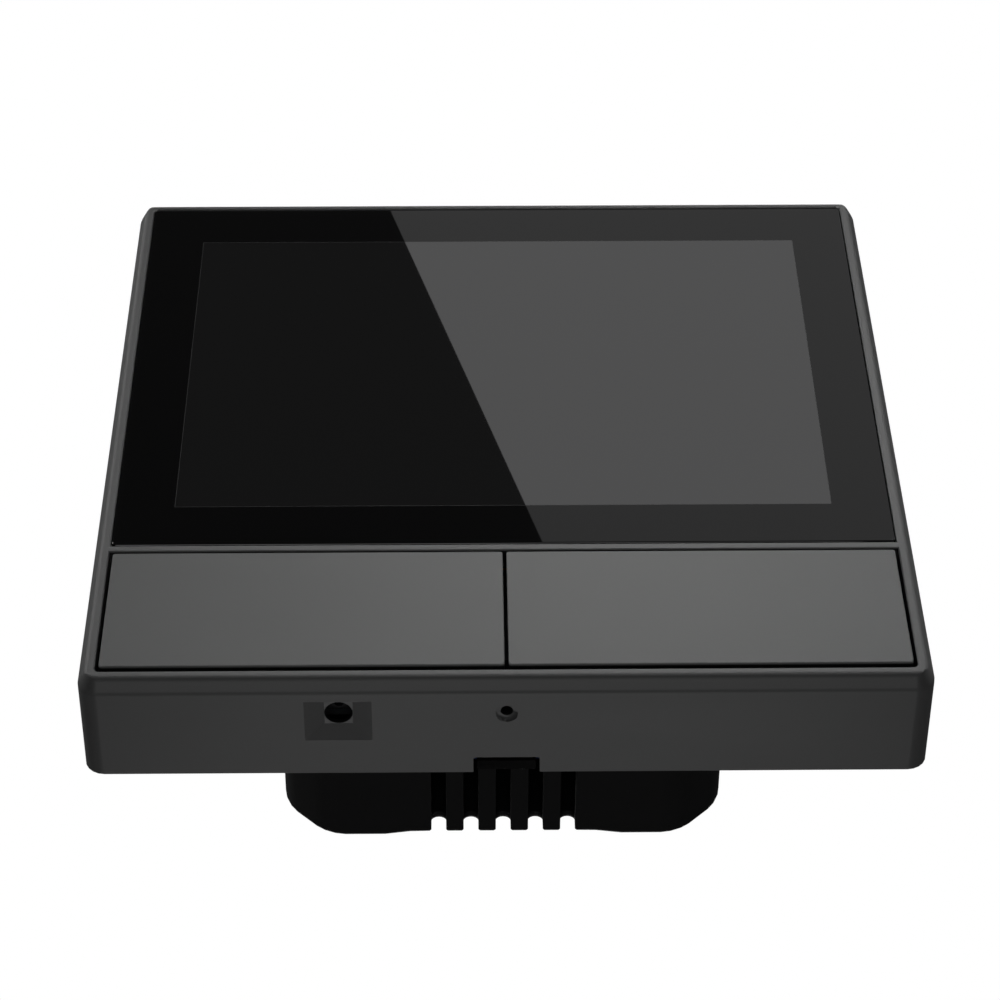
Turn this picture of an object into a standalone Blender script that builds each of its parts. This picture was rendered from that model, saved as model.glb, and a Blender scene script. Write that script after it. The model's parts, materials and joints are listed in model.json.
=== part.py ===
"""A flush wall touch panel with two rocking push keys, as an assembly.

The front module (frame, glass, display, keys, boards) plugs onto a base: a steel mounting plate
on the wall and a black box with the power board and terminals in the wall opening behind it.

Frame: +X to the right seen from the front, +Z up, and the panel faces -Y. The wall plane is
y = 0. Sizes below are in millimetres, and MM turns them into metres as each mesh is made.
"""

import math

import bmesh
import bpy
from mathutils import Matrix, Vector

MM = 0.001

# The panel's outline and the front frame.
PANEL = 86.0
PANEL_CORNER = 2.1
FRONT_Y = -12.5
BEVEL_IN = 0.9
BEVEL_DEEP = 1.6
SIDE_WALL = 1.8
CAVITY = PANEL / 2 - SIDE_WALL
CAVITY_CORNER = 0.5

# Layers of the front module, front to back.
GLASS_Y = (-12.48, -11.4)
TAPE_Y = (-11.36, -11.14)
WEB_Y = (-11.1, -9.9)
LCD_Y = (-11.3, -10.0)
BACKLIGHT_Y = (-9.95, -8.3)
CHASSIS_Y = (-8.2, -7.0)
BOARD_Y = (-6.3, -5.1)
MODULE_BACK_Y = (-2.9, -1.8)
ON_BOARD_FRONT = BOARD_Y[0] - 0.05
ON_BOARD_REAR = BOARD_Y[1] + 0.05

# Layers of the base, front to back.
PLATE_Y = (-1.2, 0.0)
BOX_Y = (0.05, 27.6)
LID_Y = (0.4, 1.6)
POWER_Y = (7.0, 8.6)
ON_POWER_REAR = POWER_Y[1] + 0.05

# Heights of what shows on the face.
BAR_Z = (-22.64, -21.62)
WINDOW_X = 38.3
WINDOW_Z = (-18.6, 37.6)
KEY_Z = (-40.55, -22.88)
KEY_X = (0.205, 40.83)

# Key pivots and switches.
KEY_AXIS_Y = -9.0
KEY_AXIS_Z = -21.2
PIVOT_R = 0.65
SADDLE_R = 0.75
SWITCH_X = 20.5
SWITCH_Z = -34.0
SWITCH_TOP_Y = -10.0
RESET_Y = -8.1
SENSOR_X = -16.95
SENSOR_Y = -7.17

# Fastenings.
BOSS_XZ = 38.9
BOSS_R = 2.6
POST_XZ = 19.4
POST_R = 2.6
SLOT_SPACING = 60.0
SLOT_WIDTH = 3.9
SLOT_LENGTH = 8.0
SEAT_MARGIN = 2.25
SEAT_DEEP = 0.15
TONGUE_X = 30.0
TONGUE_Z = 20.0
NOTCH_X = 3.38
PRY_TAB_X = 3.0

# The rear box.
BOX = 49.2
BOX_CHAMFER = 5.0
BOX_ROUND = 1.95
BOX_WALL = 1.6
VENTS = 5
VENT_WIDTH = 1.65
VENT_PITCH = 3.6
VENT_START_Y = 9.0
VENT_TOP_Z = -22.35

# Terminals.
WAYS = 4
WAY_PITCH = 7.62
TERMINAL_Z = 14.0
TERMINAL_SCREW_Y = 20.5

CORNERS = ((1, 1), (-1, 1), (-1, -1), (1, -1))
AXES = {"X": 0, "Y": 1, "Z": 2}

CHARCOAL = ((0.115, 0.116, 0.118), 0.55, 0.0)
BLACK_PLASTIC = ((0.012, 0.012, 0.013), 0.5, 0.0)
INNER_PLASTIC = ((0.03, 0.03, 0.032), 0.6, 0.0)
GREY_PLASTIC = ((0.25, 0.25, 0.26), 0.55, 0.0)
GLASS = ((0.004, 0.004, 0.005), 0.06, 0.0)
DISPLAY = ((0.02, 0.02, 0.022), 0.2, 0.0)
TAPE = ((0.02, 0.02, 0.02), 0.9, 0.0)
STEEL = ((0.62, 0.62, 0.63), 0.35, 1.0)
COATED_STEEL = ((0.02, 0.02, 0.021), 0.45, 0.0)
BRASS = ((0.75, 0.58, 0.3), 0.35, 1.0)
TIN = ((0.72, 0.72, 0.7), 0.3, 1.0)
GREEN_BOARD = ((0.02, 0.11, 0.05), 0.45, 0.0)
BLACK_BOARD = ((0.012, 0.016, 0.02), 0.4, 0.0)
RIBBON = ((0.35, 0.17, 0.04), 0.4, 0.0)
BLUE_RELAY = ((0.02, 0.07, 0.3), 0.4, 0.0)
YELLOW_TAPE = ((0.6, 0.42, 0.04), 0.5, 0.0)
BLUE_DISC = ((0.03, 0.16, 0.45), 0.35, 0.0)
CHIP = ((0.01, 0.01, 0.01), 0.55, 0.0)


def clear_scene():
    for obj in list(bpy.data.objects):
        bpy.data.objects.remove(obj)


def new_collection(name):
    made = bpy.data.collections.new(name)
    bpy.context.scene.collection.children.link(made)
    return made


def new_material(name, look):
    colour, roughness, metallic = look
    made = bpy.data.materials.new(name)
    made.use_nodes = True
    shader = made.node_tree.nodes["Principled BSDF"]
    shader.inputs["Base Color"].default_value = (*colour, 1.0)
    shader.inputs["Roughness"].default_value = roughness
    shader.inputs["Metallic"].default_value = metallic
    return made


def place(bm, name, centre, look):
    """The mesh as an object at centre: a part if it has a look, and a hidden tool if not."""
    bmesh.ops.recalc_face_normals(bm, faces=bm.faces)
    mesh = bpy.data.meshes.new(name)
    bm.to_mesh(mesh)
    bm.free()
    obj = bpy.data.objects.new(name, mesh)
    obj.location = Vector(centre) * MM
    if look is None:
        bpy.data.collections["cutters"].objects.link(obj)
        obj.hide_render = True
        obj.display_type = "WIRE"
    else:
        bpy.data.collections["wall_panel"].objects.link(obj)
        mesh.materials.append(new_material(name, look))
    return obj


def edges_along(bm, axis):
    others = [i for i in range(3) if i != AXES[axis]]
    found = []
    for edge in bm.edges:
        run = edge.verts[1].co - edge.verts[0].co
        if all(abs(run[i]) < 1e-9 for i in others):
            found.append(edge)
    return found


def round_edges(bm, edges, radius, segments):
    bmesh.ops.bevel(
        bm,
        geom=edges,
        offset=radius * MM,
        segments=segments,
        profile=0.5,
        affect="EDGES",
    )


def box_mesh(x, y, z):
    bm = bmesh.new()
    bmesh.ops.create_cube(bm, size=1.0)
    sides = Vector((x[1] - x[0], y[1] - y[0], z[1] - z[0]))
    bmesh.ops.scale(bm, vec=sides * MM, verts=bm.verts)
    return bm, ((x[0] + x[1]) / 2, (y[0] + y[1]) / 2, (z[0] + z[1]) / 2)


def block(name, x, y, z, look=None, rounding=0.0, axis="Y", segments=4):
    """A box from low to high on each axis, with its edges along one axis rounded."""
    bm, centre = box_mesh(x, y, z)
    if rounding:
        round_edges(bm, edges_along(bm, axis), rounding, segments)
    return place(bm, name, centre, look)


def plate(name, half_x, y, z, look=None, rounding=0.0):
    return block(name, (-half_x, half_x), y, z, look, rounding)


def tapered(name, x, y, z, axis, end, shrink, look=None):
    """A box whose face at one end of an axis is shrunk about its centre by the factors given."""
    bm, centre = box_mesh(x, y, z)
    for vert in bm.verts:
        if vert.co[AXES[axis]] * end > 0:
            vert.co = Vector([a * b for a, b in zip(vert.co, shrink)])
    return place(bm, name, centre, look)


def rod(name, centre, radius, length, look=None, axis="Y", sides=24, end_radius=None):
    """A cylinder, or a cone if its radius at the axis's high end differs."""
    bm = bmesh.new()
    bmesh.ops.create_cone(
        bm,
        cap_ends=True,
        segments=sides,
        radius1=radius * MM,
        radius2=(radius if end_radius is None else end_radius) * MM,
        depth=length * MM,
    )
    turns = {
        "X": Matrix.Rotation(math.pi / 2, 3, "Y"),
        "Y": Matrix.Rotation(-math.pi / 2, 3, "X"),
        "Z": Matrix.Identity(3),
    }
    bmesh.ops.rotate(bm, verts=bm.verts, matrix=turns[axis])
    obj = place(bm, name, centre, look)
    obj.data.shade_smooth()
    obj.data.set_sharp_from_angle(angle=math.radians(40))
    return obj


def rod_between(name, x, z, y, radius, look=None, sides=24, end_radius=None):
    """A rod along Y from y[0] to y[1]."""
    centre = (x, (y[0] + y[1]) / 2, z)
    return rod(name, centre, radius, y[1] - y[0], look, "Y", sides, end_radius)


def strip(name, points, x, thickness, look):
    """A thin sheet through (y, z) points, as wide as x, thickened both ways."""
    bm = bmesh.new()
    rows = []
    for y, z in points:
        rows.append([bm.verts.new(Vector((side, y, z)) * MM) for side in x])
    for low, high in zip(rows, rows[1:]):
        bm.faces.new((low[0], low[1], high[1], high[0]))
    obj = place(bm, name, (0, 0, 0), look)
    solid = obj.modifiers.new("thickness", "SOLIDIFY")
    solid.thickness = thickness * MM
    solid.offset = 0.0
    solid.use_even_offset = True
    return obj


def boolean(target, tools, operation):
    for tool in tools:
        modifier = target.modifiers.new(tool.name, "BOOLEAN")
        modifier.operation = operation
        modifier.solver = "EXACT"
        modifier.object = tool


def cut(target, *tools):
    boolean(target, tools, "DIFFERENCE")


def fuse(target, *tools):
    boolean(target, tools, "UNION")


def set_origin(obj, point):
    """Moves the object's origin without moving its shape."""
    shift = Vector(point) * MM - obj.location
    obj.data.transform(Matrix.Translation(-shift))
    obj.location = Vector(point) * MM


def body(name, point, members, parent=None):
    """An empty on the body's joint axis that carries its members."""
    pivot = bpy.data.objects.new(name, None)
    pivot.location = Vector(point) * MM
    pivot.empty_display_size = 5 * MM
    bpy.data.collections["wall_panel"].objects.link(pivot)
    for member in members:
        member.parent = pivot
        member.matrix_parent_inverse = Matrix.Translation(-Vector(point) * MM)
    if parent:
        pivot.parent = parent
        pivot.matrix_parent_inverse = Matrix.Translation(-parent.location)
    return pivot


def octagon(name, half, chamfer, y, look=None, rounding=0.0, segments=3):
    """A square plate or bar along Y with its four corners cut at 45 degrees."""
    bm, centre = box_mesh((-half, half), y, (-half, half))
    round_edges(bm, edges_along(bm, "Y"), chamfer, 1)
    if rounding:
        round_edges(bm, edges_along(bm, "Y"), rounding, segments)
    return place(bm, name, centre, look)


# The front module's shell.


def frame_outer():
    """The frame's outer block: straight sides, then a steep bevel up to the flat front."""
    half = PANEL / 2
    bm, centre = box_mesh((-half, half), (FRONT_Y + BEVEL_DEEP, 0.0), (-half, half))
    round_edges(bm, edges_along(bm, "Y"), PANEL_CORNER, 5)
    front = min(bm.faces, key=lambda face: face.calc_center_median().y)
    bmesh.ops.inset_region(bm, faces=[front], thickness=BEVEL_IN * MM, use_even_offset=True)
    bmesh.ops.translate(bm, verts=front.verts, vec=(0, -BEVEL_DEEP * MM, 0))
    return place(bm, "front_frame", centre, CHARCOAL)


def make_front_frame():
    frame = frame_outer()
    inside = (-CAVITY, CAVITY)
    wall = (-PANEL / 2 - 1, -CAVITY + 0.5)
    reach = CAVITY + 0.6
    cut(frame, block("cavity", inside, (FRONT_Y - 1, 1), inside, rounding=CAVITY_CORNER))
    web = block("web", (-reach, reach), WEB_Y, (BAR_Z[0], reach))
    cut(web, block("window", (-WINDOW_X, WINDOW_X), (-12, -9), WINDOW_Z, rounding=1.0))
    bar = block("bar", (-reach, reach), (FRONT_Y, WEB_Y[1]), BAR_Z)
    fuse(web, bar)
    fuse(frame, web)
    for index, (side, up) in enumerate(CORNERS):
        start = WEB_Y[1] - 0.4 if up > 0 else -9.5
        x, z = side * BOSS_XZ, up * BOSS_XZ
        fuse(frame, rod_between(f"boss_{index}", x, z, (start, -3.0), BOSS_R))
        cut(frame, rod_between(f"boss_hole_{index}", x, z, (-9.0, -2.0), 1.05, sides=12))
    cut(frame, *sensor_funnel(), *reset_hole())
    notch = block("pry_notch", (-NOTCH_X, NOTCH_X), (-2.05, 1), wall, rounding=0.3, axis="Z")
    cut(frame, notch)
    return frame


def sensor_funnel():
    """The square funnel in the bottom side and the round hole at its foot."""
    low, deep = -PANEL / 2, 1.25
    mouth_x, mouth_y = 3.4, 2.62
    foot_x, foot_y = 1.428, 1.441
    # The tool starts as far below the side as the funnel is deep, so it is wider there.
    start_x, start_y = 2 * mouth_x - foot_x, 2 * mouth_y - foot_y
    funnel = tapered(
        "funnel",
        (SENSOR_X - start_x, SENSOR_X + start_x),
        (SENSOR_Y - start_y, SENSOR_Y + start_y),
        (low - deep, low + deep),
        "Z",
        1,
        (foot_x / start_x, foot_y / start_y, 1.0),
    )
    hole = rod("funnel_hole", (SENSOR_X, SENSOR_Y, low + deep), 1.39, 3.0, axis="Z", sides=32)
    return funnel, hole


def reset_hole():
    low = -PANEL / 2
    seat = rod("reset_seat", (0, RESET_Y, low), 1.15, 0.8, axis="Z", sides=32)
    hole = rod("reset_pinhole", (0, RESET_Y, low + 1), 0.6, 4.0, axis="Z", sides=24)
    return seat, hole


def make_glass():
    half = CAVITY - 0.08
    low = BAR_Z[1] + 0.08
    glass = plate("cover_glass", half, GLASS_Y, (low, half), GLASS, rounding=0.45)
    tape = plate("glass_tape", half - 0.2, TAPE_Y, (low + 0.2, half - 0.2), TAPE, rounding=0.45)
    inner = (WINDOW_Z[0] + 0.1, WINDOW_Z[1] + 0.3)
    cut(tape, plate("tape_window", WINDOW_X + 0.3, (-13, -10), inner, rounding=1.0))
    return glass, tape


def make_display():
    panel = plate("lcd_panel", 37.2, LCD_Y, (-16.4, 36.2), DISPLAY)
    lip = plate("lcd_step", 40.0, (-12, -10.65), (-20, -15.2))
    cut(panel, lip)
    tray = plate("lcd_backlight", 37.8, BACKLIGHT_Y, (-16.9, 36.8), STEEL, rounding=2.0)
    cut(tray, plate("tray_recess", 34.0, (-8.7, -8.0), (-13.0, 33.0), rounding=1.5))
    return panel, tray


def make_display_flex():
    route = (
        (-10.3, -16.5),
        (-10.3, -16.95),
        (-10.1, -17.35),
        (-9.6, -17.5),
        (-8.2, -17.6),
        (-7.5, -17.85),
        (-7.15, -18.3),
        (-7.03, -18.9),
        (-7.03, -20.2),
    )
    flex = strip("display_flex", route, (-10.5, 10.5), 0.12, RIBBON)
    socket = block(
        "flex_connector", (-11.5, 11.5), (-6.9, ON_BOARD_FRONT), (-21.9, -18.9), GREY_PLASTIC
    )
    cut(socket, block("flex_mouth", (-10.9, 10.9), (-6.8, -6.5), (-19.6, -18.0)))
    return flex, socket


def make_key(name, side):
    """A push key: a hollow cap, two arms that reach behind the bar, and the pivot bar between."""
    face_y = FRONT_Y + 0.05
    skirt_y = -10.6
    floor_y = -11.25
    rim = 0.9
    post_r = 1.6
    x = sorted((side * KEY_X[0], side * KEY_X[1]))
    key = block(name, x, (face_y, skirt_y), KEY_Z, CHARCOAL, rounding=0.25, segments=2)
    hollow_x = (x[0] + rim, x[1] - rim)
    hollow_z = (KEY_Z[0] + rim, KEY_Z[1] - 2.2)
    cut(key, block(f"{name}_hollow", hollow_x, (floor_y, -10), hollow_z))
    post_y = (floor_y - 0.3, SWITCH_TOP_Y - 0.05)
    fuse(key, rod_between(f"{name}_post", side * SWITCH_X, SWITCH_Z, post_y, post_r, sides=20))
    arms = (side * 15.8, side * 35.2)
    for index, arm_x in enumerate(arms):
        across = (arm_x - 0.8, arm_x + 0.8)
        root = block(f"{name}_root_{index}", across, (-11.2, -8.5), (-24.8, -23.1))
        reach = block(f"{name}_arm_{index}", across, (-9.72, -8.5), (-24.8, -20.5))
        fuse(key, root, reach)
    middle = (arms[0] + arms[1]) / 2
    length = abs(arms[1] - arms[0])
    pivot = (middle, KEY_AXIS_Y, KEY_AXIS_Z)
    fuse(key, rod(f"{name}_pivot", pivot, PIVOT_R, length, axis="X", sides=20))
    set_origin(key, pivot)
    return key


def make_chassis():
    """The carrier between display and main board, with the saddles for the key pivots."""
    half = CAVITY - 0.4
    chassis = plate("inner_chassis", half, CHASSIS_Y, (-half, half), INNER_PLASTIC)
    through = (CHASSIS_Y[0] - 1, CHASSIS_Y[1] + 1)
    for index, (side, up) in enumerate(CORNERS):
        x, z = side * BOSS_XZ, up * BOSS_XZ
        cut(chassis, rod_between(f"boss_notch_{index}", x, z, through, BOSS_R + 0.4))
    cut(chassis, plate("chassis_window", 28.0, through, (-8.0, 30.0), rounding=3.0))
    cut(chassis, plate("flex_slot", 12.5, through, (-20.8, -17.1), rounding=0.6))
    cut(chassis, plate("reset_notch", 3.2, through, (-42.0, -36.0)))
    sensor_notch = (SENSOR_X - 2.6, SENSOR_X + 2.6)
    cut(chassis, block("sensor_notch", sensor_notch, through, (-42.0, -37.4)))
    for side in (-1, 1):
        x = side * SWITCH_X
        opening = (x - 3.7, x + 3.7)
        z = (SWITCH_Z - 3.7, SWITCH_Z + 3.7)
        cut(chassis, block(f"switch_window_{side}", opening, through, z, rounding=0.5))
        for saddle_x in (side * 19.0, side * 32.0):
            saddle = block(
                f"saddle_{saddle_x}",
                (saddle_x - 1.0, saddle_x + 1.0),
                (KEY_AXIS_Y - 0.3, CHASSIS_Y[0] + 0.3),
                (KEY_AXIS_Z - 1.1, KEY_AXIS_Z + 1.1),
            )
            fuse(chassis, saddle)
        for up in (-28.0, 34.0):
            leg_y = (CHASSIS_Y[1] - 0.3, BOARD_Y[0] - 0.05)
            fuse(chassis, rod_between(f"leg_{side}_{up}", side * 36.0, up, leg_y, 1.5, sides=16))
    groove = (0, KEY_AXIS_Y, KEY_AXIS_Z)
    cut(chassis, rod("saddle_groove", groove, SADDLE_R, 80.0, axis="X", sides=20))
    return chassis


def make_tact_switch(name, side):
    x = side * SWITCH_X
    half = 3.1
    top = -9.4
    z = (SWITCH_Z - half, SWITCH_Z + half)
    case = block(
        f"switch_{name}", (x - half, x + half), (top, ON_BOARD_FRONT), z, CHIP, rounding=0.4
    )
    well = (top - 1, -8.25)
    cut(case, rod_between(f"switch_well_{name}", x, SWITCH_Z, well, 1.6, sides=20))
    plunger_y = (SWITCH_TOP_Y, -8.7)
    plunger = rod_between(
        f"plunger_{name}", x, SWITCH_Z, plunger_y, 1.45, GREY_PLASTIC, sides=20
    )
    return case, plunger


def make_reset_switch():
    case = block(
        "reset_switch", (-2.3, 2.3), (-9.6, ON_BOARD_FRONT), (-39.3, -36.6), CHIP, rounding=0.3
    )
    cut(case, rod("reset_well", (0, RESET_Y, -39.0), 0.85, 2.0, axis="Z", sides=16))
    plunger = rod("reset_plunger", (0, RESET_Y, -39.4), 0.7, 1.8, GREY_PLASTIC, "Z", 16)
    return case, plunger


def make_temperature_sensor():
    half = 1.25
    sensor = block(
        "temperature_sensor",
        (SENSOR_X - half, SENSOR_X + half),
        (-8.3, ON_BOARD_FRONT),
        (-40.4, -38.2),
        CHIP,
    )
    port = (SENSOR_X, SENSOR_Y - 0.1, -40.4)
    cut(sensor, rod("sensor_port", port, 0.45, 0.8, axis="Z", sides=12))
    return sensor


def make_main_board():
    half = CAVITY - 1.4
    board = plate("main_board", half, BOARD_Y, (-half, half), BLACK_BOARD)
    for index, (side, up) in enumerate(CORNERS):
        x, z = side * BOSS_XZ, up * BOSS_XZ
        cut(board, rod_between(f"board_notch_{index}", x, z, (-7, -4), BOSS_R + 0.3))
    return board


def make_board_parts():
    processor = block(
        "processor", (-26.0, -16.0), (ON_BOARD_REAR, -4.1), (-5.0, 5.0), CHIP, rounding=0.2
    )
    radio = plate("radio_board", 9.0, (ON_BOARD_REAR, -4.25), (12.0, 37.0), BLACK_BOARD)
    shield = plate("radio_shield", 8.0, (-4.2, -3.25), (13.2, 29.5), TIN, rounding=0.4)
    buzzer = rod_between("buzzer", 19.0, -1.0, (ON_BOARD_REAR, -3.05), 4.5, CHIP, sides=32)
    cut(buzzer, rod_between("buzzer_port", 19.0, -1.0, (-3.6, -2.0), 0.8, sides=12))
    return processor, radio, shield, buzzer


def make_header():
    """The plug's pins on the main board, and the socket that stands on the power board."""
    pins = 7
    pitch = 2.54
    half_pin = 0.32
    plug = plate("header_plug", 9.4, (ON_BOARD_REAR, -2.55), (-1.3, 1.3), CHIP)
    for index in range(pins):
        x = (index - (pins - 1) / 2) * pitch
        pin = (x - half_pin, x + half_pin)
        fuse(plug, block(f"pin_{index}", pin, (-3.2, 4.5), (-half_pin, half_pin)))
    socket = plate("header_socket", 9.6, (-0.9, POWER_Y[0] - 0.05), (-2.5, 2.5), CHIP)
    cut(socket, plate("socket_slot", 8.5, (-2.0, 5.2), (-0.65, 0.65)))
    return plug, socket


def make_module_back():
    half = CAVITY - 0.4
    through = (MODULE_BACK_Y[0] - 1, MODULE_BACK_Y[1] + 1)
    back = plate("module_back", half, MODULE_BACK_Y, (-half, half), INNER_PLASTIC, 1.0)
    cut(back, plate("header_window", 10.2, through, (-2.0, 2.0)))
    cut(back, plate("pry_clearance", 4.2, through, (-half - 1, -half + 1.2)))
    for index, (side, up) in enumerate(CORNERS):
        x, z = side * BOSS_XZ, up * BOSS_XZ
        cut(back, rod_between(f"screw_hole_{index}", x, z, through, 1.15, sides=16))
        slot_x = sorted((side * (TONGUE_X - 3.3), side * (TONGUE_X + 3.3)))
        slot_z = sorted((up * (TONGUE_Z + 2.2), up * (TONGUE_Z + 6.2)))
        cut(back, block(f"tongue_slot_{index}", slot_x, through, slot_z))
    for name, x, z in screw_seats(0.6):
        cut(back, block(f"head_window_{name}", x, through, z, rounding=1.5))
    for index, (side, up) in enumerate(CORNERS):
        for column in range(4):
            x = side * (9.4 + 3.4 * column)
            slot = (x - 0.8, x + 0.8)
            z = (up * 31.0 - 5.0, up * 31.0 + 5.0)
            tool = block(f"back_vent_{index}_{column}", slot, through, z, rounding=0.75, segments=3)
            cut(back, tool)
    return back


def make_module_screw(index, side, up):
    x, z = side * BOSS_XZ, up * BOSS_XZ
    head_y = (MODULE_BACK_Y[1] + 0.05, -0.65)
    screw = rod_between(f"module_screw_{index}", x, z, head_y, 1.9, STEEL, sides=20)
    fuse(screw, rod_between(f"module_shank_{index}", x, z, (-7.5, -1.4), 0.9, sides=12))
    for turn, (half_x, half_z) in enumerate(((1.2, 0.25), (0.25, 1.2))):
        across = (x - half_x, x + half_x)
        cut(screw, block(f"recess_{index}_{turn}", across, (-1.2, 0), (z - half_z, z + half_z)))
    return screw


# The base.


def screw_seats(grow):
    """Name, x range and z range of the four wall screw seats, each grown by so much all round."""
    near = SLOT_SPACING / 2
    half_w = SLOT_WIDTH / 2 + SEAT_MARGIN + grow
    half_l = SLOT_LENGTH / 2 + SEAT_MARGIN + grow
    level = (-half_l, half_l)
    made = []
    for name, side in (("low", -1), ("high", 1)):
        across = (side * near - half_w, side * near + half_w)
        made.append((f"side_{name}", across, level))
        made.append((f"end_{name}", level, across))
    return made


def make_mounting_plate():
    """The steel plate on the wall. Its tab lies in the frame's notch, to lever the module off."""
    half = 36.0
    through = (PLATE_Y[0] - 1, PLATE_Y[1] + 1)
    base = plate("mounting_plate", half, PLATE_Y, (-half, half), COATED_STEEL, rounding=4.0)
    fuse(base, plate("pry_tab", PRY_TAB_X, PLATE_Y, (-42.6, -half + 1)))
    cut(base, plate("plate_window", 15.0, through, (-8.0, 8.0), rounding=1.5))
    seat_y = (PLATE_Y[0] - 1, PLATE_Y[0] + SEAT_DEEP)
    for name, x, z in screw_seats(0.0):
        cut(base, block(f"seat_{name}", x, seat_y, z, rounding=1.0))
    for name, x, z in screw_seats(-SEAT_MARGIN):
        cut(base, block(f"slot_{name}", x, through, z, rounding=SLOT_WIDTH / 2 - 0.02))
    for index, (side, up) in enumerate(CORNERS):
        x, z = side * POST_XZ, up * POST_XZ
        cut(base, rod_between(f"plate_hole_{index}", x, z, through, 1.3, sides=20))
        sink = (PLATE_Y[0] - 0.1, PLATE_Y[1] - 0.1)
        tool = rod_between(f"plate_sink_{index}", x, z, sink, 2.55, sides=24, end_radius=1.25)
        cut(base, tool)
    return base


def make_plate_screw(index, side, up):
    """A countersunk screw through plate and lid into the box's corner post."""
    x, z = side * POST_XZ, up * POST_XZ
    head_y = (PLATE_Y[0] + 0.02, PLATE_Y[1] - 0.1)
    name = f"plate_screw_{index}"
    screw = rod_between(name, x, z, head_y, 2.3, STEEL, sides=24, end_radius=1.0)
    fuse(screw, rod_between(f"plate_shank_{index}", x, z, (-0.5, 9.0), 1.0, sides=12))
    for turn, (half_x, half_z) in enumerate(((1.3, 0.25), (0.25, 1.3))):
        across = (x - half_x, x + half_x)
        recess = block(f"sink_recess_{index}_{turn}", across, (-2, -0.7), (z - half_z, z + half_z))
        cut(screw, recess)
    return screw


def make_latch_tongue(index, side, up):
    """A spring steel tongue: a foot on the plate and a bowed leg that grips the module's back."""
    route = (
        (-1.5, TONGUE_Z - 2.0),
        (-1.5, TONGUE_Z + 3.6),
        (-1.8, TONGUE_Z + 4.1),
        (-2.6, TONGUE_Z + 4.2),
        (-3.5, TONGUE_Z + 4.9),
        (-4.4, TONGUE_Z + 4.1),
    )
    points = [(y, up * z) for y, z in route]
    x = sorted((side * (TONGUE_X - 2.5), side * (TONGUE_X + 2.5)))
    return strip(f"latch_tongue_{index}", points, x, 0.4, STEEL)


def make_base_box():
    half = BOX / 2
    inner = half - BOX_WALL
    wall_diagonal = BOX_WALL * (2 - math.sqrt(2))
    rear = BOX_Y[1] - BOX_WALL
    box = octagon("base_box", half, BOX_CHAMFER, BOX_Y, BLACK_PLASTIC, BOX_ROUND)
    cavity = octagon("box_cavity", inner, BOX_CHAMFER - wall_diagonal, (-1, rear))
    cut(box, cavity)
    for index, (side, up) in enumerate(CORNERS):
        x, z = side * POST_XZ, up * POST_XZ
        fuse(box, rod_between(f"post_{index}", x, z, (LID_Y[1] + 0.05, rear + 0.5), POST_R))
        cut(box, rod_between(f"post_hole_{index}", x, z, (0, 10.0), 1.2, sides=12))
    for side in (-1, 1):
        x = sorted((side * (inner + 0.5), side * (inner - 1.1)))
        fuse(box, block(f"rib_{side}", x, (ON_POWER_REAR, rear + 0.5), (-3.0, -1.5)))
    cut(box, *vent_slots(), label_recess())
    for index in range(WAYS):
        x = way_x(index)
        cut(box, rod_between(f"wire_hole_{index}", x, TERMINAL_Z, (rear - 1, 30), 1.75))
        above = (x, TERMINAL_SCREW_Y, half)
        cut(box, rod(f"driver_hole_{index}", above, 1.9, 6.0, axis="Z"))
    return box


def vent_slots():
    """Slots through the bottom side that run on a little way up the rear face."""
    made = []
    for index in range(VENTS):
        x = (index - (VENTS - 1) / 2) * VENT_PITCH
        across = (x - VENT_WIDTH / 2, x + VENT_WIDTH / 2)
        made.append(
            block(
                f"vent_{index}",
                across,
                (VENT_START_Y, BOX_Y[1] + 1),
                (-BOX / 2 - 2, VENT_TOP_Z),
                rounding=VENT_WIDTH / 2 - 0.02,
                segments=5,
            )
        )
    return made


def label_recess():
    """A shallow field in the middle of the rear face, with sloped ends left and right."""
    deep = 0.4
    floor_x, mouth_x = 10.4, 13.2
    reach_x = 2 * mouth_x - floor_x
    y = (BOX_Y[1] - deep, BOX_Y[1] + deep)
    shrink = (floor_x / reach_x, 1.0, 1.0)
    return tapered("label_field", (-reach_x, reach_x), y, (-BOX / 2 - 1, 7.0), "Y", -1, shrink)


def make_base_lid():
    inner = BOX / 2 - BOX_WALL - 0.3
    through = (LID_Y[0] - 1, LID_Y[1] + 1)
    lid = octagon("base_lid", inner, BOX_CHAMFER - 0.9, LID_Y, INNER_PLASTIC)
    cut(lid, plate("socket_window", 9.9, through, (-2.8, 2.8)))
    for index, (side, up) in enumerate(CORNERS):
        x, z = side * POST_XZ, up * POST_XZ
        cut(lid, rod_between(f"lid_hole_{index}", x, z, through, 1.3, sides=16))
    return lid


def make_power_board():
    inner = BOX / 2 - BOX_WALL - 0.4
    return octagon("power_board", inner, 11.0, POWER_Y, GREEN_BOARD)


def make_power_parts():
    base = ON_POWER_REAR
    made = []
    for number, x in ((1, (-20.5, -2.0)), (2, (2.0, 20.5))):
        relay = block(f"relay_{number}", x, (base, 23.9), (-16.2, -6.0), BLUE_RELAY, 0.6)
        made.append(relay)
    core = block("transformer", (-19.0, -7.0), (base, 18.7), (-4.4, 7.4), YELLOW_TAPE)
    wings = block("transformer_core", (-20.2, -5.8), (11.5, 16.5), (-2.5, 5.5))
    fuse(core, wings)
    made.append(core)
    made.append(rod_between("capacitor_1", -0.9, 1.5, (base, 20.7), 4.0, CHIP, sides=28))
    made.append(rod_between("capacitor_2", 6.7, 1.5, (base, 17.7), 3.15, BLACK_BOARD, sides=24))
    made.append(rod("varistor", (12.6, 13.6, 1.4), 4.6, 3.0, BLUE_DISC, "X", 28))
    made.append(rod("fuse", (18.2, 11.4, 1.5), 1.8, 10.0, TIN, "Z", 20))
    return made


def way_x(index):
    return (index - (WAYS - 1) / 2) * WAY_PITCH


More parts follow.
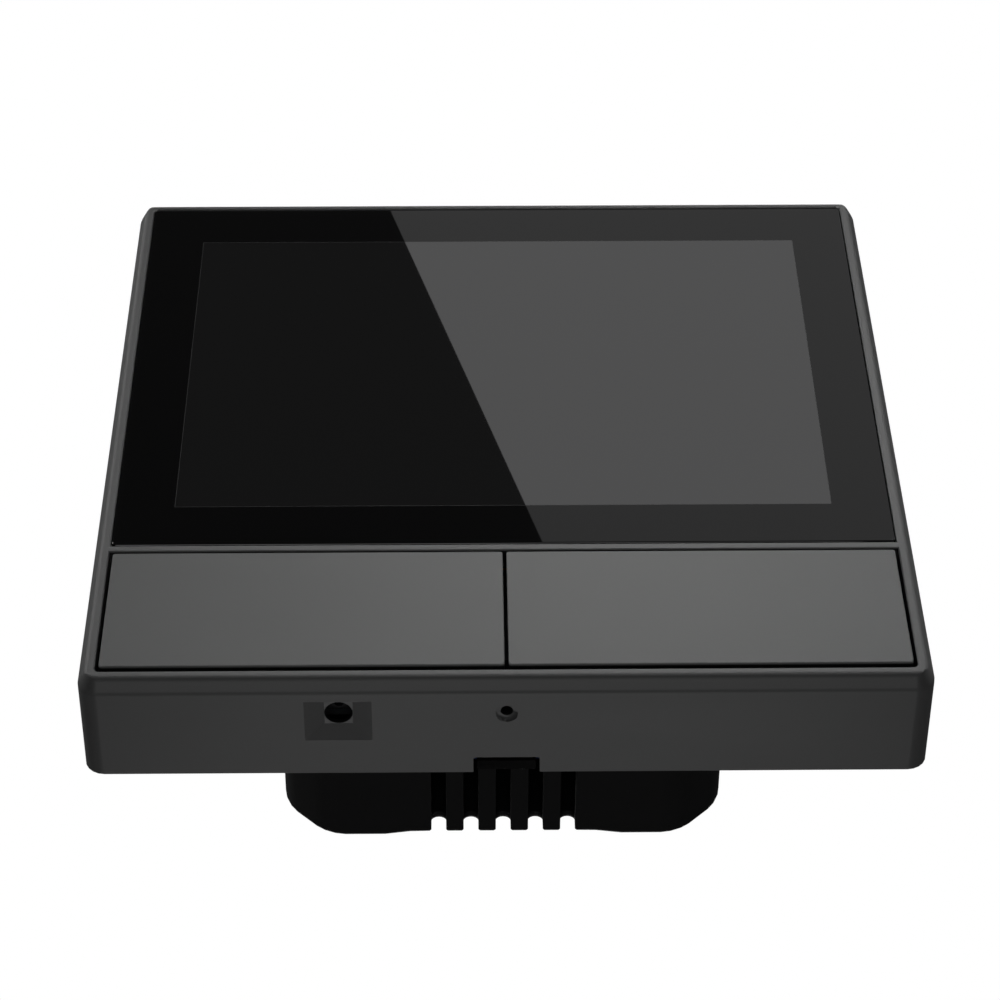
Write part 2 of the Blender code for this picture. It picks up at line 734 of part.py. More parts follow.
def make_terminal_block():
    half = WAY_PITCH * WAYS / 2 + 0.2
    z = (8.4, 19.6)
    body_y = (ON_POWER_REAR, BOX_Y[1] - BOX_WALL - 0.4)
    block_body = plate("terminal_block", half, body_y, z, GREY_PLASTIC)
    for index in range(WAYS):
        x = way_x(index)
        mouth = (x - 2.4, x + 2.4)
        cage_room = (TERMINAL_Z - 3.0, TERMINAL_Z + 3.2)
        cut(block_body, block(f"way_{index}", mouth, (16.5, 28.0), cage_room))
        well = (x, TERMINAL_SCREW_Y, 19.0)
        cut(block_body, rod(f"well_{index}", well, 2.0, 5.0, axis="Z"))
    return block_body


def make_terminal(index):
    """One way's brass cage and the screw that closes it."""
    x = way_x(index)
    cage_z = (TERMINAL_Z - 2.7, TERMINAL_Z + 2.9)
    cage = block(f"terminal_cage_{index}", (x - 2.1, x + 2.1), (17.0, 24.0), cage_z, BRASS)
    hollow_z = (cage_z[0] + 0.8, cage_z[1] - 1.0)
    cut(cage, block(f"cage_hollow_{index}", (x - 1.4, x + 1.4), (16.0, 25.0), hollow_z))
    top = (x, TERMINAL_SCREW_Y, cage_z[1])
    cut(cage, rod(f"cage_hole_{index}", top, 1.2, 3.0, axis="Z", sides=16))
    head = (x, TERMINAL_SCREW_Y, 18.2)
    screw = rod(f"terminal_screw_{index}", head, 1.7, 1.6, STEEL, "Z", 20)
    shank = (x, TERMINAL_SCREW_Y, 16.3)
    fuse(screw, rod(f"terminal_shank_{index}", shank, 1.05, 3.0, axis="Z", sides=12))
    slot = block(
        f"driver_slot_{index}",
        (x - 2.0, x + 2.0),
        (TERMINAL_SCREW_Y - 0.25, TERMINAL_SCREW_Y + 0.25),
        (18.4, 20.0),
    )
    cut(screw, slot)
    return screw, cage


def build_front_module():
    members = [make_front_frame(), *make_glass(), *make_display(), *make_display_flex()]
    members += [make_chassis(), make_main_board(), *make_board_parts()]
    members += [make_temperature_sensor(), make_module_back()]
    for index, (side, up) in enumerate(CORNERS):
        members.append(make_module_screw(index + 1, side, up))
    left_case, left_plunger = make_tact_switch("left", -1)
    right_case, right_plunger = make_tact_switch("right", 1)
    reset_case, reset_plunger = make_reset_switch()
    plug, socket = make_header()
    members += [left_case, right_case, reset_case, plug]
    module = body("front_module", (0, 0, 0), members)
    body("reset_button", (0, RESET_Y, -39.4), [reset_plunger], module)
    for name, side, plunger in (("left", -1, left_plunger), ("right", 1, right_plunger)):
        key = make_key(f"key_{name}", side)
        body(f"{name}_key", key.location / MM, [key], module)
        body(f"{name}_plunger", plunger.location / MM, [plunger], module)
    return socket


def build_base(socket):
    members = [make_mounting_plate(), make_base_box(), make_base_lid(), make_power_board()]
    members += [socket, *make_power_parts(), make_terminal_block()]
    for index, (side, up) in enumerate(CORNERS):
        members.append(make_plate_screw(index + 1, side, up))
        members.append(make_latch_tongue(index + 1, side, up))
    for index in range(WAYS):
        members += make_terminal(index)
    body("base", (0, 0, 0), members)


def main():
    clear_scene()
    new_collection("wall_panel")
    cutters = new_collection("cutters")
    cutters.hide_render = True
    build_base(build_front_module())


main()
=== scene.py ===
"""Looks for a flush wall touch panel with two push keys: finishes, soft edges, light, camera.

Frame: +X to the right seen from the front, +Z up, the panel faces -Y, the wall plane is y = 0, in metres.
"""

import json
import math

import bmesh
import bpy
from mathutils import Matrix, Vector

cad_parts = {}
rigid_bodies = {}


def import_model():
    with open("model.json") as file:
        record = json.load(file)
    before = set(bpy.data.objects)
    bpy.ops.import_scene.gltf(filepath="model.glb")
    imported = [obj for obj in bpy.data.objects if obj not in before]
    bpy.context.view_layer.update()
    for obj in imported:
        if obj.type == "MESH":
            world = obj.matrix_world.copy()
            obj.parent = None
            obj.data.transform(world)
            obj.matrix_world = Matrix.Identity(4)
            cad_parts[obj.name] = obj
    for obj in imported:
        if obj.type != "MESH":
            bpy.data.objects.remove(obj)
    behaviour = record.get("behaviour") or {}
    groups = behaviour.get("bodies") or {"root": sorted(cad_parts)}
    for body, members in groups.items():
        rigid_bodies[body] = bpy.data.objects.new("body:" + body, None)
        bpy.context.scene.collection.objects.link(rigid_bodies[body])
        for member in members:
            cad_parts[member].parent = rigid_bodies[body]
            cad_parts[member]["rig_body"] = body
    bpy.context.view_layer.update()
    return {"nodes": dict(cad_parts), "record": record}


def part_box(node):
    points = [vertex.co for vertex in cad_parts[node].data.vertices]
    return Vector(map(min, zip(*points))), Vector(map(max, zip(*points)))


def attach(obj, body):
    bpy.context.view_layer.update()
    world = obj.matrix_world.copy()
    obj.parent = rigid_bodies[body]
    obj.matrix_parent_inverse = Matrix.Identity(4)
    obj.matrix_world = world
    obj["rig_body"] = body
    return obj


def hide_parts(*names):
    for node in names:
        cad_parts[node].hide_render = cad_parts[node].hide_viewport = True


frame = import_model()

MM = 0.001
FACE_Y = -12.5
CHARCOAL = (0.081, 0.0815, 0.0815)
KEY_GREY = (0.094, 0.095, 0.0945)
SENSOR_X, SENSOR_Y = -16.95, -7.17
RESET_Y = -8.1


# Shader maths.


class Value:
    """A number or colour that changes over a surface. Operators on numbers add Math nodes."""

    def __init__(self, finish, socket):
        self.finish = finish
        self.socket = socket

    def math(self, operation, *values):
        return self.finish.node("ShaderNodeMath", {"operation": operation}, dict(enumerate(values)))

    def __add__(self, other):
        return self.math("ADD", self, other)

    def __radd__(self, other):
        return self.math("ADD", other, self)

    def __sub__(self, other):
        return self.math("SUBTRACT", self, other)

    def __rsub__(self, other):
        return self.math("SUBTRACT", other, self)

    def __mul__(self, other):
        return self.math("MULTIPLY", self, other)

    def __rmul__(self, other):
        return self.math("MULTIPLY", other, self)

    def __truediv__(self, other):
        return self.math("DIVIDE", self, other)

    def __gt__(self, other):
        return self.math("GREATER_THAN", self, other)

    def __lt__(self, other):
        return self.math("LESS_THAN", self, other)

    def __abs__(self):
        return self.math("ABSOLUTE", self)

    def fract(self):
        return self.math("FRACT", self)

    def floor(self):
        return self.math("FLOOR", self)

    def low(self, other):
        return self.math("MINIMUM", self, other)

    def high(self, other):
        return self.math("MAXIMUM", self, other)

    def between(self, start, end):
        """0 at start, 1 at end, held outside."""
        sockets = {"Value": self, "From Min": start, "From Max": end}
        return self.finish.node("ShaderNodeMapRange", {"clamp": True}, sockets)


class Finish:
    """A material round one Principled shader. Places and sizes in it are in millimetres."""

    def __init__(self, name, **constants):
        self.material = bpy.data.materials.new(name)
        self.material.use_nodes = True
        self.tree = self.material.node_tree
        self.shader = self.tree.nodes["Principled BSDF"]
        for key, value in constants.items():
            self.shader.inputs[key.replace("_", " ").title().replace("Ior", "IOR")].default_value = value
        place = self.node("ShaderNodeTexCoord", output="Object")
        scaled = {0: place, "Scale": 1 / MM}
        self.place = self.node("ShaderNodeVectorMath", {"operation": "SCALE"}, scaled)
        self.bumps = None

    def node(self, kind, settings=None, sockets=None, output=0):
        """Adds a node: its settings first, then the values or links of its sockets."""
        made = self.tree.nodes.new(kind)
        for key, value in (settings or {}).items():
            setattr(made, key, value)
        for key, value in (sockets or {}).items():
            self.feed(made.inputs[key], value)
        return Value(self, made.outputs[output])

    def feed(self, socket, value):
        if isinstance(value, Value):
            self.tree.links.new(value.socket, socket)
        else:
            socket.default_value = value

    def axis(self, name):
        return self.node("ShaderNodeSeparateXYZ", sockets={0: self.place}, output=name)

    def stretched(self, stretch):
        return self.node("ShaderNodeVectorMath", {"operation": "MULTIPLY"}, {0: self.place, 1: stretch})

    def noise(self, size, detail=2.0, stretch=None):
        """Noise with features about so many millimetres across, around 0.5."""
        place = self.stretched(stretch) if stretch else self.place
        sockets = {"Vector": place, "Scale": 1 / size, "Detail": detail, "Roughness": 0.55}
        return self.node("ShaderNodeTexNoise", sockets=sockets)

    def cells(self, size, feature="F1", output="Distance"):
        sockets = {"Vector": self.place, "Scale": 1 / size}
        return self.node("ShaderNodeTexVoronoi", {"feature": feature}, sockets, output)

    def mix(self, mask, low, high):
        """Colour low where the mask is 0 and high where it is 1."""
        pair = {0: mask, 6: self.colour(low), 7: self.colour(high)}
        return self.node("ShaderNodeMix", {"data_type": "RGBA"}, pair, output=2)

    def colour(self, value):
        return value if isinstance(value, Value) else (*value, 1.0)

    def shaded(self, colour, factor):
        """A colour made lighter or darker by a factor."""
        start = colour if isinstance(colour, Value) else tuple(colour)
        return self.node("ShaderNodeVectorMath", {"operation": "SCALE"}, {0: start, "Scale": factor})

    def edges(self, radius, gain=2.5):
        """1 along edges and corners, falling to 0 within about the radius."""
        rounded = self.node("ShaderNodeBevel", {"samples": 4}, {"Radius": radius * MM})
        true = self.node("ShaderNodeNewGeometry", output="Normal")
        both = {0: rounded, 1: true}
        agree = self.node("ShaderNodeVectorMath", {"operation": "DOT_PRODUCT"}, both, "Value")
        return ((1.0 - agree) * gain).low(1.0)

    def bump(self, height, depth, strength=1.0):
        """Relief: height from 0 to 1 stands for so many millimetres. Calls add up."""
        sockets = {"Strength": strength, "Distance": depth * MM, "Height": height}
        if self.bumps:
            sockets["Normal"] = self.bumps
        self.bumps = self.node("ShaderNodeBump", sockets=sockets)
        self.set("Normal", self.bumps)

    def set(self, name, value):
        self.feed(self.shader.inputs[name], value)


# Finishes.


def moulded(name, colour, roughness, grain=0.2, depth=0.006, recess_shade=None, gloss=0.5, side=0.0):
    """Injection-moulded plastic: eroded grain, slow drift in tone, edges rubbed smoother.

    Where the recess mask is 1 the wall lies inside the part, in a gap or down a hole, and painted
    shade makes it much darker. Behind the face the outside is smoother by the amount side, and
    painted light makes the walls of the sensor's funnel paler.
    """
    rubbed = 0.3
    made = Finish(name, ior=1.5)
    made.set("Specular IOR Level", gloss)
    grit = made.noise(grain, 3.0)
    drift = made.noise(16.0, 2.0)
    worn = made.edges(0.2)
    tone = 0.9 + drift * 0.1 + grit * 0.1 + worn * rubbed * 0.35
    if recess_shade:
        # Painted shade: walls in recesses, gaps and holes are darkened by nine tenths.
        tone = tone * (1.0 - recess_shade(made) * 0.9)
    rough = roughness - 0.05 + grit * 0.1 - worn * rubbed * 0.1
    if side:
        rough = rough - made.axis("Y").between(FACE_Y + 0.1, FACE_Y + 0.5) * side
        # Painted light: the funnel's walls are made half again as bright, standing in for light they
        # lack.
        tone = tone * (1.0 + funnel_painted_light(made) * 0.5)
    made.set("Base Color", made.shaded(colour, tone))
    made.set("Roughness", rough)
    made.bump(grit, depth)
    return made.material


def funnel_painted_light(made):
    """1 on the sloping walls round the sensor's hole, whose tone painted light lifts."""
    x, y, z = made.axis("X") - SENSOR_X, made.axis("Y") - SENSOR_Y, made.axis("Z")
    return (abs(x) < 3.38) * (abs(y) < 2.6) * (z < -41.6) * (z > -42.99)


def frame_recess_shade(made):
    """1 on the frame's walls behind its face, and down its two round holes: these get painted shade."""
    x, y, z = made.axis("X"), made.axis("Y"), made.axis("Z")
    behind = (y > FACE_Y + 0.16) * (abs(x) < 41.3) * (abs(z) < 41.3)
    sensor = round_hole(x, y, SENSOR_X, SENSOR_Y, 1.42)
    reset = round_hole(x, y, 0.0, RESET_Y, 0.63)
    return behind.high(sensor.high(reset) * (z < 0.0))


def round_hole(x, y, centre_x, centre_y, radius):
    away_x, away_y = x - centre_x, y - centre_y
    return away_x * away_x + away_y * away_y < radius * radius


# Painted shade: 1 on a key's walls behind its face, which are darkened.
def key_side_shade(made):
    return made.axis("Y") > FACE_Y + 0.22


def printed_glass():
    """Cover glass printed black behind, with a clear window onto the switched-off display."""
    made = Finish("printed_cover_glass", ior=1.41)
    x, z = made.axis("X"), made.axis("Z")
    window_x, window_low, window_high = 34.9, -15.28, 34.32
    soft = 0.05
    inside_x = abs(x).between(window_x + soft, window_x - soft)
    inside_low = z.between(window_low - soft, window_low + soft)
    inside_high = z.between(window_high + soft, window_high - soft)
    window = inside_x * inside_low * inside_high
    smears = made.noise(9.0, 4.0, stretch=(1.0, 1.0, 0.45))
    made.set("Base Color", made.mix(window, (0.0008, 0.0008, 0.0009), (0.128, 0.128, 0.129)))
    made.set("Metallic", window)
    made.set("Roughness", 0.006 + smears * 0.008)
    return made.material


def powder_coat():
    """Black coated sheet steel: orange-peel coat, worn to grey metal at the punched edges."""
    made = Finish("black_coated_sheet", ior=1.5)
    made.set("Specular IOR Level", 0.07)
    peel = made.noise(0.5, 2.0)
    drift = made.noise(11.0, 3.0)
    chips = made.edges(0.12, 4.0) * made.noise(0.8, 3.0).between(0.6, 0.66)
    coat = made.shaded((0.0035, 0.0035, 0.0037), 0.8 + drift * 0.4)
    made.set("Base Color", made.mix(chips, coat, (0.22, 0.22, 0.225)))
    made.set("Metallic", chips)
    made.set("Roughness", 0.6 + drift * 0.12)
    made.bump(peel, 0.008)
    return made.material


def plated(name, colour, roughness, grain_along="X", lines=0.12):
    """Plated or rolled metal with fine lines along one direction and a few darker stains."""
    made = Finish(name, metallic=1.0)
    long, fine = 6.0, 1.0
    stretch = tuple(fine / long if axis == grain_along else fine for axis in "XYZ")
    drawn = made.noise(lines, 2.0, stretch=stretch)
    stains = made.noise(2.6, 3.0)
    worn = made.edges(0.12, 3.0)
    made.set("Base Color", made.shaded(colour, 0.82 + drawn * 0.16 + stains * 0.16 + worn * 0.1))
    made.set("Roughness", roughness + drawn * 0.14 + stains * 0.12 - worn * 0.08)
    made.bump(drawn, 0.002)
    return made.material


def circuit_board(name, mask_colour, copper_colour):
    """Solder mask over routed copper, with tinned vias."""
    made = Finish(name, ior=1.5)
    x, z = made.axis("X"), made.axis("Z")
    block, pitch = 5.2, 0.65
    block_x, block_z = (x / block).floor(), (z / block).floor()
    corner = made.node("ShaderNodeCombineXYZ", sockets={0: block_x, 1: block_z})
    chance = made.node("ShaderNodeTexWhiteNoise", {"noise_dimensions": "2D"}, {"Vector": corner})
    upright = chance > 0.5
    run = x * upright + z * (1.0 - upright)
    lines = (run / pitch).fract() < 0.42
    routed = lines * ((chance * 7.0).fract() > 0.3)
    via = made.cells(2.3) < 0.16
    stain = made.noise(3.0, 3.0)
    under = made.mix(routed, mask_colour, copper_colour)
    board = made.shaded(under, 0.85 + stain * 0.3)
    made.set("Base Color", made.mix(via, board, (0.6, 0.58, 0.52)))
    made.set("Metallic", via)
    made.set("Roughness", 0.3 + stain * 0.14)
    made.bump(routed.high(via), 0.02)
    return made.material


def component_black():
    """Moulded epoxy and nylon, matt black."""
    made = Finish("component_black", ior=1.5)
    made.set("Specular IOR Level", 0.15)
    grit = made.noise(0.12, 3.0)
    drift = made.noise(4.0, 2.0)
    made.set("Base Color", made.shaded((0.008, 0.008, 0.0085), 0.75 + drift * 0.5))
    made.set("Roughness", 0.48 + grit * 0.16)
    made.bump(grit, 0.004)
    return made.material


def header_finish():
    """The plug's black body, with gold flashed pins that stand out of its rear."""
    made = Finish("header_plug_finish", ior=1.5)
    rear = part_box("header_plug")[1].y / MM
    body_end = -2.5
    pin = made.axis("Y").between(body_end - 0.05, body_end + 0.05)
    grit = made.noise(0.15, 3.0)
    worn = made.axis("Y").between(rear - 0.8, rear) * 0.2
    gold = made.shaded((0.83, 0.62, 0.26), 0.9 + worn)
    made.set("Base Color", made.mix(pin, (0.014, 0.014, 0.015), gold))
    made.set("Metallic", pin)
    made.set("Roughness", 0.3 + grit * 0.2)
    made.bump(grit, 0.003)
    return made.material


def ribbon_finish():
    """Amber film with copper tracks along it."""
    made = Finish("ribbon_film", ior=1.5)
    pitch = 0.7
    track = (made.axis("X") / pitch).fract() < 0.5
    scuffs = made.noise(1.6, 3.0)
    made.set("Base Color", made.mix(track, (0.24, 0.1, 0.018), (0.42, 0.21, 0.06)))
    made.set("Roughness", 0.22 + scuffs * 0.2)
    made.bump(track, 0.012)
    return made.material


def relay_case():
    """Glossy blue relay case with a shallow mould texture."""
    made = Finish("blue_relay_case", ior=1.5)
    drift = made.noise(5.0, 2.0)
    grit = made.noise(0.25, 2.0)
    made.set("Base Color", made.shaded((0.008, 0.025, 0.1), 0.85 + drift * 0.3))
    made.set("Roughness", 0.3 + drift * 0.12)
    made.bump(grit, 0.004)
    return made.material


def coil_finish():
    """Transformer: amber tape over the winding, dark ferrite on the outer core."""
    made = Finish("transformer_finish", ior=1.5)
    low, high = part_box("transformer")
    centre = (low.x + high.x) / 2 / MM
    tape_half = (high.x - low.x) / 2 / MM - 1.15
    core = abs(made.axis("X") - centre).between(tape_half - 0.05, tape_half + 0.05)
    wraps = (made.axis("Y") / 1.9).fract()
    lap = wraps < 0.06
    grit = made.noise(0.3, 3.0)
    tape = made.mix(lap, (0.5, 0.33, 0.03), (0.34, 0.2, 0.02))
    made.set("Base Color", made.mix(core, tape, (0.03, 0.03, 0.032)))
    made.set("Roughness", 0.3 + core * 0.3 + grit * 0.1)
    made.bump(grit * core + lap, 0.02)
    return made.material


def dipped(name, colour):
    """Dipped epoxy: glossy, slightly uneven."""
    made = Finish(name, ior=1.5)
    sag = made.noise(1.8, 2.0)
    made.set("Base Color", made.shaded(colour, 0.85 + sag * 0.3))
    made.set("Roughness", 0.22 + sag * 0.1)
    made.bump(sag, 0.06)
    return made.material


def foam():
    made = Finish("foam_tape", ior=1.45)
    pores = made.cells(0.22)
    made.set("Base Color", made.shaded((0.02, 0.02, 0.02), 0.6 + pores * 0.8))
    made.set("Roughness", 0.85 + pores * 0.1)
    made.bump(pores, 0.03)
    return made.material


def display_film():
    made = Finish("display_film", ior=1.5)
    haze = made.noise(12.0, 3.0)
    made.set("Base Color", made.shaded((0.012, 0.012, 0.014), 0.85 + haze * 0.3))
    made.set("Roughness", 0.16 + haze * 0.08)
    made.bump(made.noise(0.1, 1.0), 0.0008)
    return made.material


def make_finishes():
    """One finish for each of the record's material slots."""
    key_grain, key_depth = 0.17, 0.005
    black = (0.0112, 0.0112, 0.0116)
    board_black = (0.006, 0.008, 0.01)
    board_green = (0.012, 0.075, 0.03)
    # The recess masks paint shade into the frame's gaps and holes and down the keys' sides.
    frame_look = {"recess_shade": frame_recess_shade, "gloss": 0.42, "side": 0.27}
    key_look = {"recess_shade": key_side_shade, "gloss": 0.3}
    return {
        "charcoal_plastic": moulded("charcoal_moulding", CHARCOAL, 0.7, **frame_look),
        "key_plastic": moulded("key_moulding", KEY_GREY, 0.66, key_grain, key_depth, **key_look),
        "cover_glass": printed_glass(),
        "display": display_film(),
        "adhesive": foam(),
        "black_plastic": moulded("black_moulding", black, 0.78, 0.28, 0.008, gloss=0.08),
        "inner_plastic": moulded("inner_moulding", (0.022, 0.022, 0.023), 0.5, 0.4, 0.006),
        "coated_steel": powder_coat(),
        "steel": plated("zinc_plated_steel", (0.6, 0.61, 0.64), 0.24),
        "spring_steel": plated("rolled_spring_steel", (0.46, 0.46, 0.47), 0.22, grain_along="Z"),
        "tin_plate": plated("tinned_sheet", (0.7, 0.69, 0.66), 0.26),
        "brass": plated("turned_brass", (0.74, 0.55, 0.27), 0.26, grain_along="Y"),
        "black_board": circuit_board("black_circuit_board", board_black, (0.018, 0.024, 0.028)),
        "green_board": circuit_board("green_circuit_board", board_green, (0.03, 0.15, 0.055)),
        "component_black": component_black(),
        "switch_grey": moulded("grey_nylon", (0.2, 0.2, 0.21), 0.45, 0.3, 0.004),
        "ribbon": ribbon_finish(),
        "relay_blue": relay_case(),
        "coil_tape": coil_finish(),
        "disc_blue": dipped("dipped_blue_disc", (0.025, 0.13, 0.4)),
    }


# Pieces.

WELD = 2e-6
SHARP = math.radians(25)


def cad_mesh(node):
    """The node's solid with shared corners and whole flat faces."""
    bm = bmesh.new()
    bm.from_mesh(frame["nodes"][node].data)
    bmesh.ops.remove_doubles(bm, verts=bm.verts, dist=WELD)
    flat = math.radians(0.4)
    bmesh.ops.dissolve_limit(bm, angle_limit=flat, verts=bm.verts, edges=bm.edges)
    return bm


def outward_edges(bm, wanted):
    """The wanted ones of the edges that stand out sharply."""
    found = []
    for edge in bm.edges:
        if not edge.is_manifold or edge.calc_face_angle_signed(0.0) < SHARP:
            continue
        middle = (edge.verts[0].co + edge.verts[1].co) / 2 / MM
        if wanted(middle):
            found.append(edge)
    return found


def soften(bm, radius, wanted, segments):
    bmesh.ops.bevel(
        bm,
        geom=outward_edges(bm, wanted),
        offset=radius * MM,
        segments=segments,
        profile=0.5,
        affect="EDGES",
        clamp_overlap=False,
    )


def finish_piece(bm, name, slot, body):
    """The mesh as a piece that rides on a body in its slot's finish."""
    bmesh.ops.recalc_face_normals(bm, faces=bm.faces)
    mesh = bpy.data.meshes.new(name)
    bm.to_mesh(mesh)
    bm.free()
    mesh.shade_smooth()
    mesh.set_sharp_from_angle(angle=math.radians(50))
    for edge in mesh.edges:
        start, end = (mesh.vertices[index].co / MM for index in edge.vertices)
        if in_funnel((start + end) / 2):
            edge.use_edge_sharp = True
    mesh.materials.append(finishes[slot])
    piece = bpy.data.objects.new(name, mesh)
    bpy.context.scene.collection.objects.link(piece)
    normals = piece.modifiers.new("flat_faces_stay_flat", "WEIGHTED_NORMAL")
    normals.keep_sharp = True
    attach(piece, body)
    return piece


def stand_for(node, name, *rounds):
    """A piece with the node's shape and softened edges. Each round is a radius and which edges."""
    bm = cad_mesh(node)
    for radius, wanted, segments in rounds:
        soften(bm, radius, wanted, segments)
    piece = finish_piece(bm, name, slots[node], frame["nodes"][node]["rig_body"])
    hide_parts(node)


def in_funnel(point):
    """The sloping walls round the sensor's hole, in the frame's underside."""
    across = abs(point.x - SENSOR_X) < 3.6 and abs(point.y - SENSOR_Y) < 2.8
    return across and -43.2 < point.z < -41.0


def off_the_tab(point):
    return point.z > -40.8


def outer_rim(point):
    """The frame's outer edges: round its face, and between bevel and sides."""
    return max(abs(point.x), abs(point.z)) > 42.0 and point.y < -10.5


def ring_inside(point):
    """The inner edge of the frame's face, but for its top."""
    return max(abs(point.x), abs(point.z)) < 42.0 and point.y < FACE_Y + 0.1 and point.z < 41.0


def ring_top(point):
    return point.z > 41.0 and abs(point.x) < 40.9 and point.y < FACE_Y + 0.1


def bar_top(point):
    return abs(point.x) < 41.1 and -21.7 < point.z < -21.5 and point.y < FACE_Y + 0.1


def within(point):
    """Edges inside the outline, and ahead of the rear rim."""
    return max(abs(point.x), abs(point.z)) < 42.9 and point.y < -0.3 and not outer_rim(point)


def anywhere(point):
    return True


def key_foot(point):
    return point.y < FACE_Y + 0.3 and point.z < -40.3


def face_edge(point):
    return point.y < FACE_Y + 0.3


def box_rear(point):
    return point.y > 27.0 and max(abs(point.x), abs(point.z)) > 19.0


def make_pieces():
    """Every node's piece. A round is a radius, which edges it takes, and its number of steps."""
    key = ((0.2, key_foot, 3), (0.08, face_edge, 2), (0.05, anywhere, 1))
    board = ((0.03, anywhere, 1),)
    rounds = {
        "front_frame": (
            (0.3, outer_rim, 3),
            (0.5, ring_top, 3),
            (0.26, bar_top, 3),
            (0.16, ring_inside, 2),
            (0.06, within, 1),
        ),
        "key_left": key,
        "key_right": key,
        "cover_glass": ((0.14, face_edge, 3), (0.05, anywhere, 1)),
        "base_box": ((0.5, box_rear, 3), (0.08, anywhere, 1)),
        "mounting_plate": ((0.1, off_the_tab, 2),),
        "main_board": board,
        "radio_board": board,
        "power_board": board,
        "display_flex": (),
        "glass_tape": (),
    }
    usual = ((0.07, anywhere, 1),)
    for node in sorted(frame["nodes"]):
        stand_for(node, f"{node}_piece", *rounds.get(node, usual))


# Floor, light and camera.


def make_floor():
    mesh = bpy.data.meshes.new("floor")
    bm = bmesh.new()
    bmesh.ops.create_grid(bm, x_segments=1, y_segments=1, size=8.0)
    bm.to_mesh(mesh)
    bm.free()
    floor = bpy.data.objects.new("floor", mesh)
    floor.location.z = -1.2
    pale = Finish("pale_floor")
    pale.set("Base Color", (0.3, 0.3, 0.3, 1.0))
    pale.set("Roughness", 0.8)
    pale.set("Emission Color", (1.0, 1.0, 1.0, 1.0))
    pale.set("Emission Strength", 0.86)
    mesh.materials.append(pale.material)
    bpy.context.scene.collection.objects.link(floor)
    floor.visible_diffuse = False
    floor.visible_glossy = False
    floor.visible_shadow = False


def make_world():
    """White behind the object, and a dim even light on it."""
    world = bpy.data.worlds.new("studio")
    bpy.context.scene.world = world
    world.use_nodes = True
    nodes, links = world.node_tree.nodes, world.node_tree.links
    dim = nodes["Background"]
    dim.inputs["Color"].default_value = (*FILL, 1.0)
    white = nodes.new("ShaderNodeBackground")
    white.inputs["Color"].default_value = (1.0, 1.0, 1.0, 1.0)
    seen = nodes.new("ShaderNodeLightPath")
    choose = nodes.new("ShaderNodeMixShader")
    links.new(seen.outputs["Is Camera Ray"], choose.inputs[0])
    links.new(dim.outputs[0], choose.inputs[1])
    links.new(white.outputs[0], choose.inputs[2])
    links.new(choose.outputs[0], nodes["World Output"].inputs["Surface"])


def toward(azimuth, elevation):
    """The direction from the object to a lamp: azimuth 0 is in front, positive to the right."""
    a, e = math.radians(azimuth), math.radians(elevation)
    return Vector((math.sin(a) * math.cos(e), -math.cos(a) * math.cos(e), math.sin(e)))


def soft_lamp(name, azimuth, elevation, distance, size, brightness):
    """A flat rectangle of even brightness that faces the object."""
    direction = toward(azimuth, elevation)
    lamp = bpy.data.lights.new(name, "AREA")
    lamp.shape = "RECTANGLE"
    lamp.size, lamp.size_y = size
    lamp.energy = brightness * size[0] * size[1] * math.pi
    holder = bpy.data.objects.new(name, lamp)
    holder.location = direction * distance
    holder.rotation_euler = direction.to_track_quat("Z", "Y").to_euler()
    bpy.context.scene.collection.objects.link(holder)


def pool(name, target, azimuth, elevation, distance, radius, brightness):
    """A soft-edged pool of light so many millimetres in radius round a target."""
    lamp = bpy.data.lights.new(name, "SPOT")
    lamp.spot_size = 2 * math.atan(radius * MM / distance)
    lamp.spot_blend = 1.0
    lamp.shadow_soft_size = 0.06
    lamp.energy = brightness * 4 * math.pi**2 * distance**2
    holder = bpy.data.objects.new(name, lamp)
    direction = toward(azimuth, elevation)
    holder.location = Vector(target) * MM + direction * distance
    holder.rotation_euler = direction.to_track_quat("Z", "Y").to_euler()
    bpy.context.scene.collection.objects.link(holder)


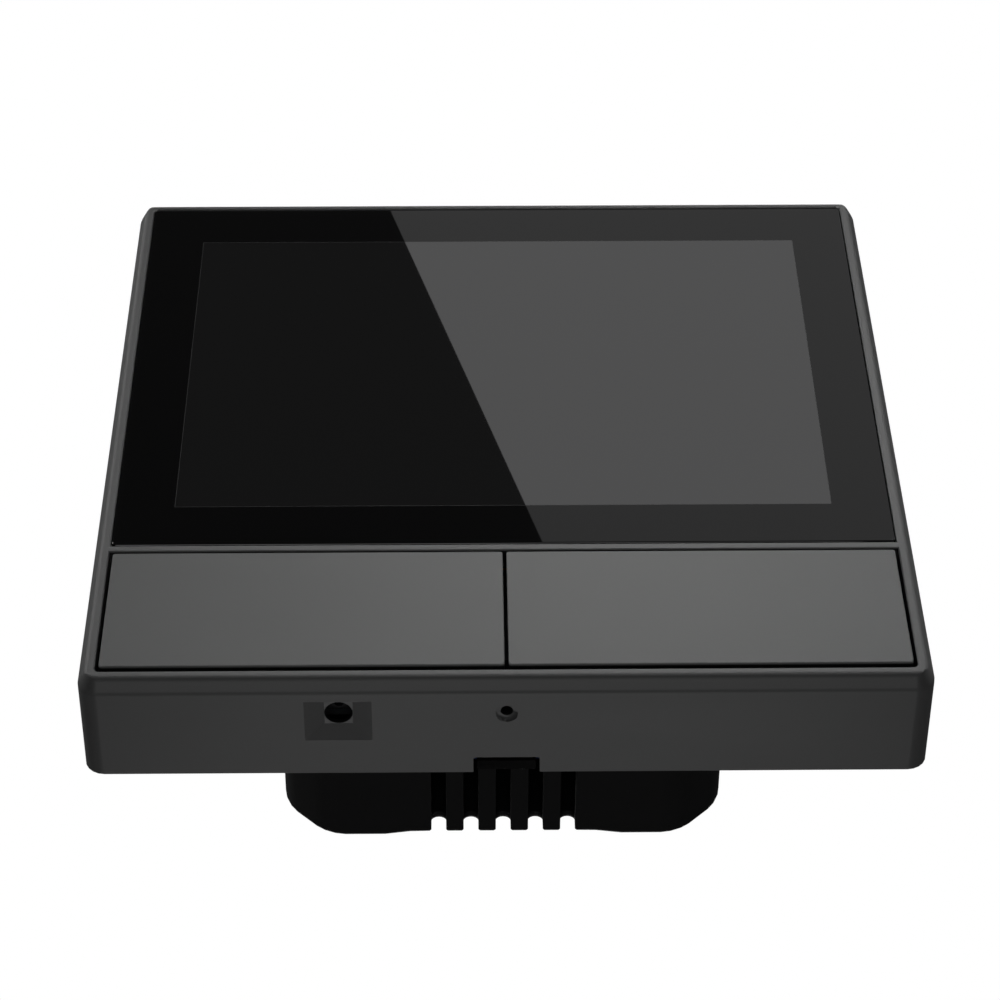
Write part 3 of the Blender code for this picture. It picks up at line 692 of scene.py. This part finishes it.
def make_glare_card(eye):
    """A card whose mirror image in the glass ends along a slanting line from top to bottom."""
    low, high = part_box("cover_glass")
    glass_y = low.y
    sheen_top_x, sheen_foot_x = -12.98, 4.01
    top = Vector((sheen_top_x * MM, glass_y, 41.52 * MM))
    foot = Vector((sheen_foot_x * MM, glass_y, -21.44 * MM))
    mirrored = Vector((eye.x, 2 * glass_y - eye.y, eye.z))
    distance = 1.1
    towards_top = (top - mirrored).normalized()
    towards_foot = (foot - mirrored).normalized()
    middle = (towards_top + towards_foot).normalized()
    edge = (towards_top - towards_foot).normalized()
    across = edge.cross(middle).normalized()
    if across.x < 0:
        across = -across
    width, height = 0.62, 0.9
    facing = across.cross(edge).normalized()
    if facing.dot(middle) > 0:
        facing = -facing
    lamp = bpy.data.lights.new("glare_card", "AREA")
    lamp.shape = "RECTANGLE"
    lamp.size, lamp.size_y = width, height
    lamp.energy = CARD * width * height * math.pi
    holder = bpy.data.objects.new("glare_card", lamp)
    z_axis = -facing
    x_axis = edge.cross(z_axis).normalized()
    turned = Matrix((x_axis, edge, z_axis)).transposed().to_4x4()
    holder.matrix_world = Matrix.Translation(mirrored + middle * distance + across * width / 2) @ turned
    bpy.context.scene.collection.objects.link(holder)


def make_camera():
    camera = bpy.data.cameras.new("camera")
    camera.sensor_width = 36.0
    camera.lens = 112.55
    camera.clip_start, camera.clip_end = 0.01, 50.0
    holder = bpy.data.objects.new("camera", camera)
    right = Vector((0.99992, -0.00325, -0.012))
    up = Vector((0.00503, -0.77696, 0.62953))
    look = Vector((0.01137, 0.62954, 0.77688))
    turned = Matrix((right, up, -look)).transposed().to_4x4()
    holder.matrix_world = Matrix.Translation(Vector((-0.00415, -0.22218, -0.27317))) @ turned
    bpy.context.scene.collection.objects.link(holder)
    bpy.context.scene.camera = holder
    return holder


FILL = (0.05, 0.05, 0.05)
CARD = 0.52

finishes = make_finishes()
slots = {part["node"]: part["material_slot"] for part in frame["record"]["subparts"]}
make_pieces()

bpy.context.scene.view_settings.view_transform = "Standard"
camera = make_camera()
make_world()
make_floor()
make_glare_card(camera.matrix_world.translation)
soft_lamp("front_lamp", 8, 38, 1.1, (1.0, 0.26), 0.15)
soft_lamp("left_lamp", -60, 36, 1.1, (0.5, 0.26), 14.4)
soft_lamp("right_lamp", 62, 36, 1.1, (0.5, 0.26), 2.89)
soft_lamp("under_lamp", 180, -51, 0.9, (0.4, 0.3), 0.472)
soft_lamp("under_front_lamp", 0, -70, 0.9, (0.3, 0.25), 3.29)
soft_lamp("rear_lamp", 182, 6, 1.4, (0.6, 0.5), 19.0)
soft_lamp("top_lamp", 200, 76, 1.3, (0.8, 0.5), 8.0)
pool("front_pool", (16, -12.5, -10), 14, 38, 1.1, 62, 1.41)
pool("under_pool", (2, 4, -43), 180, -56, 0.9, 50, 0.154)
